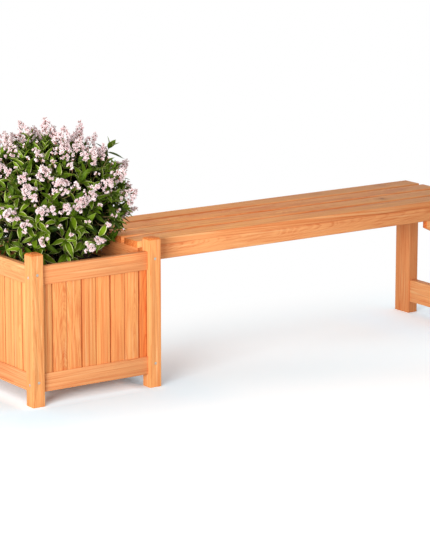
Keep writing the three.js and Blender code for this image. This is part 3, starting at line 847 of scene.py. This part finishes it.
# Leaves
# Pointed oval leaves in pairs, each pair turned a quarter from the last, with a fold along the midrib,
# a cream edge and a paler underside. A tip without blossom ends in a whorl.
def leaf_template(name, length, width, arch, fold, wave, tint, depth):
    """One leaf of two skins, with its foot at the origin, its tip along Y and its upper side up."""
    thickness = 0.0006
    blade = bmesh.new()
    blade.loops.layers.uv.new("blade")
    bmesh.ops.create_grid(blade, x_segments=2, y_segments=6, size=0.5, calc_uvs=True)
    under_layer = blade.faces.layers.float.new("under")
    tint_layer = blade.faces.layers.float.new("tint")
    depth_layer = blade.faces.layers.float.new("depth")
    for corner in blade.verts:
        side, t = corner.co.x * 2, corner.co.y + 0.5
        half = width / 2 * 3.96 * t ** 0.8 * (1 - t) ** 1.25 if 0 < t < 1 else 0.0
        drop = arch * t * t
        corner.co = Vector((
            side * half + wave * math.sin(5 * t) * width * 0.2,
            length * (t - 0.25 * arch * t * t),
            abs(side) * half * fold - length * drop * 0.5 + side * wave * half * 0.6,
        ))
    twin = bmesh.ops.duplicate(blade, geom=blade.verts[:] + blade.edges[:] + blade.faces[:])["geom"]
    under = [f for f in twin if isinstance(f, bmesh.types.BMFace)]
    bmesh.ops.reverse_faces(blade, faces=under)
    for face in under:
        face[under_layer] = 1.0
    for corner in twin:
        if isinstance(corner, bmesh.types.BMVert) and not corner.is_boundary:
            corner.co.z -= thickness
    for face in blade.faces:
        face[tint_layer] = tint
        face[depth_layer] = depth
    bmesh.ops.remove_doubles(blade, verts=blade.verts, dist=0.00001)
    mesh = bpy.data.meshes.new(name)
    blade.to_mesh(mesh)
    blade.free()
    return mesh


sprout = random.Random("leaves")
depths = 4
kinds = 9

# The leaf pairs of a shoot from its tip down: how far they open, their size, how deep in the shade they
# are, and how far it is to the next pair
openings = (0.55, 0.9, 1.15, 1.3, 1.35, 1.4, 1.4)
pair_scales = (0.85, 1.08, 1.1, 1.0, 1.0, 0.95, 0.9)
pair_depths = (0, 0, 1, 2, 3, 3, 3)
pair_gaps = (0.006, 0.01, 0.02, 0.025, 0.028, 0.03, 0.03)
leaf_templates = []
for depth in range(depths):
    for index in range(kinds):
        leaf_templates.append(leaf_template(
            f"leaf_{depth}_{index}",
            length=sprout.uniform(0.044, 0.058),
            width=sprout.uniform(0.0125, 0.017),
            arch=sprout.uniform(0.0, 0.45),
            fold=sprout.uniform(0.2, 0.55),
            wave=sprout.uniform(-0.35, 0.35),
            tint=index / (kinds - 1),
            depth=depth / (depths - 1),
        ))


def put_leaf(whole, foot, along, upper, scale, depth):
    """Puts a leaf with its foot at a point, unless it would run into the planter or the seat, or hide the
    inner face of the rail beside the seat from the camera."""
    across = along.cross(upper).normalized()
    face = across.cross(along).normalized()
    length = 0.05 * scale
    halfway, tip = (foot + along * length * share - face * 0.01 * share for share in (0.5, 1.0))
    if not (clear_of_planter(halfway) and clear_of_planter(tip)):
        return
    open_below, open_right, open_slope = -0.08, 0.372, 1.27
    end = foot + along * length * 0.8 - crown_middle
    rise = end.z - sight_drop * end.dot(to_camera)
    if rise < open_below and end.dot(rightwards) > open_right + rise * open_slope:
        return
    turn = Matrix((across, along, face)).transposed().to_4x4()
    template = leaf_templates[depth * kinds + sprout.randrange(kinds)]
    stamp(whole, template, Matrix.Translation(foot) @ turn @ Matrix.Scale(scale, 4))


foliage = [bmesh.new(), bmesh.new()]
up = Vector((0, 0, 1))
for index, (line, grows, layer) in enumerate(shoots):
    whole = foliage[index % 2]
    tip = line[-1]
    side = grows.cross(up).normalized() if abs(grows.z) < 0.98 else Vector((1, 0, 0))
    other = grows.cross(side).normalized()
    twist = sprout.uniform(0, math.pi)
    travelled, pair, previous = 0.0, 0, tip
    next_pair = 0.002
    for back in range(len(line) - 2, -1, -1):
        step = (line[back] - previous).length
        while travelled + step > next_pair and pair < len(openings):
            foot = previous.lerp(line[back], (next_pair - travelled) / step)
            axis = (previous - line[back]).normalized()
            opening = openings[pair] + sprout.uniform(-0.2, 0.2)
            scale = pair_scales[pair] * sprout.uniform(0.8, 1.15)
            for half in (0, 1):
                angle = twist + pair * math.pi / 2 + half * math.pi + sprout.uniform(-0.2, 0.2)
                out = side * math.cos(angle) + other * math.sin(angle)
                along = (out * math.sin(opening) + axis * math.cos(opening)).normalized()
                upper = (axis + up * 0.7 + grows * 0.3).normalized()
                depth = depths - 1 if layer else pair_depths[pair]
                put_leaf(whole, foot, along, upper, scale, depth)
            next_pair += pair_gaps[pair]
            pair += 1
        travelled += step
        previous = line[back]

leaf_finish = Finish("leaf")
place = leaf_finish.node("ShaderNodeTexCoord", output="Object")
flat = leaf_finish.node("ShaderNodeUVMap", {"uv_map": "blade"})
u, v = leaf_finish.parts(flat)[:2]
from_rib = (u - 0.5).maths("ABSOLUTE") * 2
mottle = leaf_finish.noise(place, (160.0, 160.0, 160.0), 2.0)
patch = leaf_finish.noise(place, (28.0, 28.0, 28.0), 1.0)
tint = leaf_finish.attribute("tint")
deep = leaf_finish.blend(mottle, colour(14, 32, 0), colour(38, 66, 2))
fresh = leaf_finish.blend(mottle, colour(98, 130, 10), colour(138, 166, 36))
green = leaf_finish.blend((tint * 0.75 + patch.step(0.35, 0.65) * 0.3), deep, fresh)
rib = from_rib.step(0.09, 0.03)
side_veins = ((v * 9 - from_rib * 1.6).maths("FRACT") - 0.5).maths("ABSOLUTE").step(0.44, 0.5)
green = leaf_finish.blend(rib * 0.5 + side_veins * 0.22, green, colour(124, 156, 40))
margin_edge = from_rib + mottle * 0.3 - 0.15
margin = margin_edge.step(0.76, 0.86) * tint.step(0.2, 0.45) * patch.step(0.32, 0.5)
green = leaf_finish.blend(margin * 0.85, green, colour(228, 230, 160))
under = leaf_finish.attribute("under")
green = leaf_finish.blend(under * 0.45, green, colour(84, 110, 34))
# Leaves deeper in the crown are blended towards near black: painted shade of the crown's inside
depth = leaf_finish.attribute("depth")
leaf_finish.set("Base Color", leaf_finish.blend(depth * 0.95, green, colour(5, 10, 1)))
leaf_finish.set("Roughness", mottle * 0.15 + under * 0.2 + 0.4)
leaf_finish.set("Specular IOR Level", 0.08)
leaf_finish.bump(side_veins * -0.4 - rib * 0.8, 0.0004, 0.6)
for name, whole in zip(("shrub_leaves_1", "shrub_leaves_2"), foliage):
    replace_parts(new_piece(name, whole, leaf_finish.material, sharp=1.2), "shrub")


# Blossom
# Upright panicles of small four-petalled florets, pale pink with a brownish-red heart, and buds at the
# tip. Each sits on a shoot of its own just outside the leaves, most of them at the top of the crown.
def floret_template(name, radius, cup):
    """A flower of four petals on a short tube, facing up. Its heart is redder than its petals."""
    flower = bmesh.new()
    heart = flower.verts.layers.float.new("heart")
    bmesh.ops.create_circle(flower, cap_ends=True, cap_tris=True, segments=16, radius=1.0)
    for corner in flower.verts:
        out = corner.co.length
        if out < 0.5:
            corner.co = Vector((0, 0, -radius * 0.45))
            corner[heart] = 1.0
        else:
            turn = math.atan2(corner.co.y, corner.co.x)
            edge = radius * (0.22 + 0.78 * abs(math.cos(2 * turn)) ** 0.8)
            corner.co = Vector((corner.co.x * edge, corner.co.y * edge, cup * edge))
    ring = [e for e in flower.edges if e.is_boundary]
    tube = bmesh.ops.extrude_edge_only(flower, edges=ring)
    for corner in tube["geom"]:
        if isinstance(corner, bmesh.types.BMVert):
            corner.co = Vector((0, 0, -radius * 1.7))
            corner[heart] = 1.3
    bmesh.ops.remove_doubles(flower, verts=flower.verts, dist=0.00001)
    bmesh.ops.recalc_face_normals(flower, faces=flower.faces)
    mesh = bpy.data.meshes.new(name)
    flower.to_mesh(mesh)
    flower.free()
    return mesh


def bud_template(name, radius, length):
    bud = bmesh.new()
    heart = bud.verts.layers.float.new("heart")
    bmesh.ops.create_icosphere(bud, subdivisions=1, radius=radius)
    bmesh.ops.scale(bud, vec=(1, 1, length / radius / 2), verts=bud.verts)
    for corner in bud.verts:
        corner[heart] = 0.55 - corner.co.z / length * 0.6
    mesh = bpy.data.meshes.new(name)
    bud.to_mesh(mesh)
    bud.free()
    return mesh


bloom = random.Random("blossom")
branchlet_share = 0.00013
loose_wide = 1.15
loose_tall = 1.07
florets = [floret_template(f"floret_{n}", 0.0048, cup) for n, cup in enumerate((-0.1, 0.12, 0.35))]
bud_mesh = bud_template("bud", 0.0017, 0.006)


def add_panicle(whole, foot, grows, wide, tall):
    """Adds an upright cluster: short branchlets with a few florets each, and buds at its pointed tip."""
    facing = grows.to_track_quat("Z", "Y").to_matrix().to_4x4()
    base = Matrix.Translation(foot) @ facing @ Matrix.Rotation(bloom.uniform(0, math.tau), 4, "Z")
    branchlets = max(1, round(wide * tall / branchlet_share))
    for branchlet in range(branchlets):
        t = (branchlet + 0.4) / branchlets
        turn = branchlet * golden_turn + bloom.uniform(-0.4, 0.4)
        out = Vector((math.cos(turn), math.sin(turn), 0))
        reach = max(0.0, wide / 2 * (1 - t) ** 0.55 * bloom.uniform(0.65, 1.1) - 0.003)
        middle = out * reach + Vector((0, 0, tall * (0.05 + 0.85 * t)))
        for _ in range(5 if wide > 0.018 else 2):
            stray = Vector([bloom.uniform(-1, 1) for _ in range(3)])
            faces = (out * (1 - t) + Vector((0, 0, 0.3 + 0.6 * t)) + stray * 0.9).normalized()
            is_bud = t > 0.85 or bloom.random() < 0.2
            spot = middle + faces * bloom.uniform(0.003, 0.008)
            turned = faces.to_track_quat("Z", "Y").to_matrix().to_4x4()
            place = base @ Matrix.Translation(spot) @ turned @ Matrix.Scale(bloom.uniform(0.8, 1.1), 4)
            stamp(whole, bud_mesh if is_bud else bloom.choice(florets), place)


blossoms = [bmesh.new(), bmesh.new()]
for whole in blossoms:
    whole.verts.layers.float.new("heart")
for index, (foot, grows, wide, tall) in enumerate(flower_heads):
    add_panicle(blossoms[index % 2], foot, grows, wide * loose_wide, tall * loose_tall)
petal = Finish("petal")
place = petal.node("ShaderNodeTexCoord", output="Object")
heart = petal.attribute("heart")
flush = petal.noise(place, (60.0, 60.0, 60.0), 2.0)
fleck = petal.noise(place, (700.0, 700.0, 700.0), 1.0)
pale = petal.blend(flush.step(0.35, 0.65), colour(254, 243, 243), colour(243, 218, 220))
pale = petal.blend(fleck.step(0.5, 0.8) * 0.25, pale, colour(222, 176, 182))
petal.set("Base Color", petal.blend(heart.step(0.25, 0.85), pale, colour(150, 84, 62)))
petal.set("Roughness", fleck * 0.2 + 0.5)
petal.set("Specular IOR Level", 0.25)
petal.bump(fleck, 0.0002, 0.4)
for name, whole in zip(("shrub_blossom_1", "shrub_blossom_2"), blossoms):
    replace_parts(new_piece(name, whole, petal.material, sharp=1.0), "shrub")
